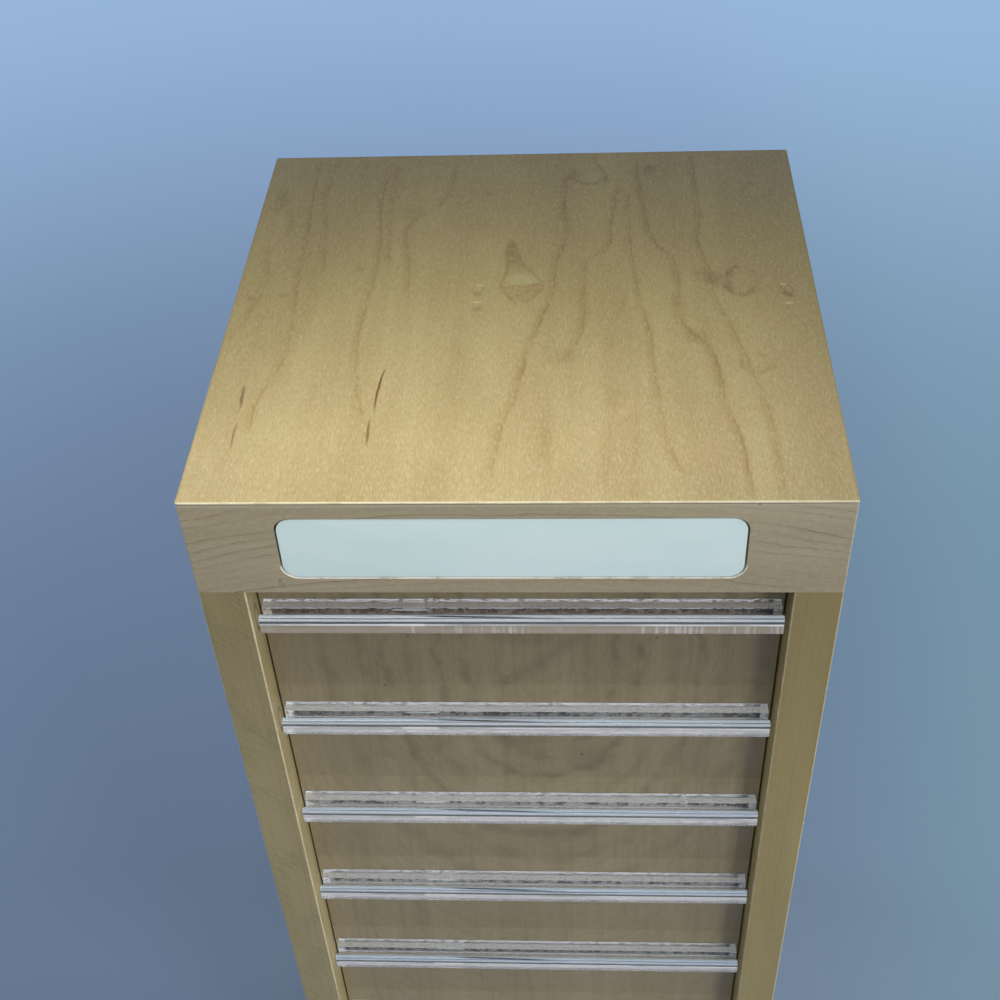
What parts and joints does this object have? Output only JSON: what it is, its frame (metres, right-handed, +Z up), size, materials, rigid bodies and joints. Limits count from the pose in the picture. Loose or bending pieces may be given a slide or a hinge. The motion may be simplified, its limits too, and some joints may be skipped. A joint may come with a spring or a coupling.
{
  "type": "countertop jewelry display case",
  "caption": "Square wooden countertop tower with clear card rails on a recessed front panel, a header sign plate and a rear storage door.",
  "frame": {"origin": "middle of the footprint, on the surface that the feet stand on", "axes": "+Z up, the front with the card rails faces -Y, +X is the right-hand side seen from the front"},
  "size_m": [0.254, 0.255, 0.6096],
  "materials": {
    "maple_top": "semi-gloss lacquered figured maple veneer",
    "maple": "semi-gloss lacquered maple",
    "plywood": "raw plywood, sanded",
    "panel_veneer": "semi-gloss lacquered veneer",
    "clear_acrylic": "clear extruded acrylic, glossy",
    "clear_tape": "clear bonding tape",
    "plate_plastic": "pale ice-green plate, plain, soft gloss",
    "steel_disc": "thin pressed steel",
    "magnet": "nickel-plated magnet",
    "screw_steel": "zinc-plated steel",
    "brass": "turned brass",
    "steel_pin": "ground steel",
    "catch_plastic": "moulded plastic",
    "foot_rubber": "black rubber"
  },
  "bodies": {
    "case": {"top_veneer": "maple_top", "top_core": "plywood", "front_header_board": "maple", "rear_header_board": "maple", "left_header_board": "maple", "right_header_board": "maple", "left_cap_cleat": "maple", "right_cap_cleat": "maple", "cap_screws": "screw_steel", "left_front_stile": "maple", "right_front_stile": "maple", "left_rear_stile": "maple", "right_rear_stile": "maple", "left_side_panel": "maple", "right_side_panel": "maple", "storage_shelf_1": "plywood", "storage_shelf_2": "plywood", "display_panel": "panel_veneer", "panel_cleats": "maple", "panel_screws": "screw_steel", "rail_tapes": "clear_tape", "sign_magnets": "magnet", "base_board": "plywood", "base_screws": "screw_steel", "rubber_feet": "foot_rubber", "foot_screws": "screw_steel", "lower_pivot_pin": "steel_pin", "upper_pivot_pin": "steel_pin", "catch_body": "catch_plastic", "catch_magnet": "magnet", "catch_screws": "screw_steel", "card_rail_1": "clear_acrylic", "card_rail_2": "clear_acrylic", "card_rail_3": "clear_acrylic", "card_rail_4": "clear_acrylic", "card_rail_5": "clear_acrylic", "card_rail_6": "clear_acrylic", "card_rail_7": "clear_acrylic", "card_rail_8": "clear_acrylic"},
    "door": {"rear_door": "maple", "lower_pivot_bushing": "brass", "upper_pivot_bushing": "brass", "catch_strike": "steel_disc", "strike_screw": "screw_steel"},
    "sign": {"sign_plate": "plate_plastic", "sign_discs": "steel_disc"}
  },
  "joints": [
    {"name": "rear_door_hinge", "type": "hinge", "parent": "case", "child": "door", "pos_m": [-0.09925, 0.1145, 0], "axis": [0, 0, 1], "range_deg": [0, 92]},
    {"name": "sign_lift_off", "type": "slide", "parent": "case", "child": "sign", "axis": [0, -1, 0], "range_m": [0, 0.02]}
  ]
}
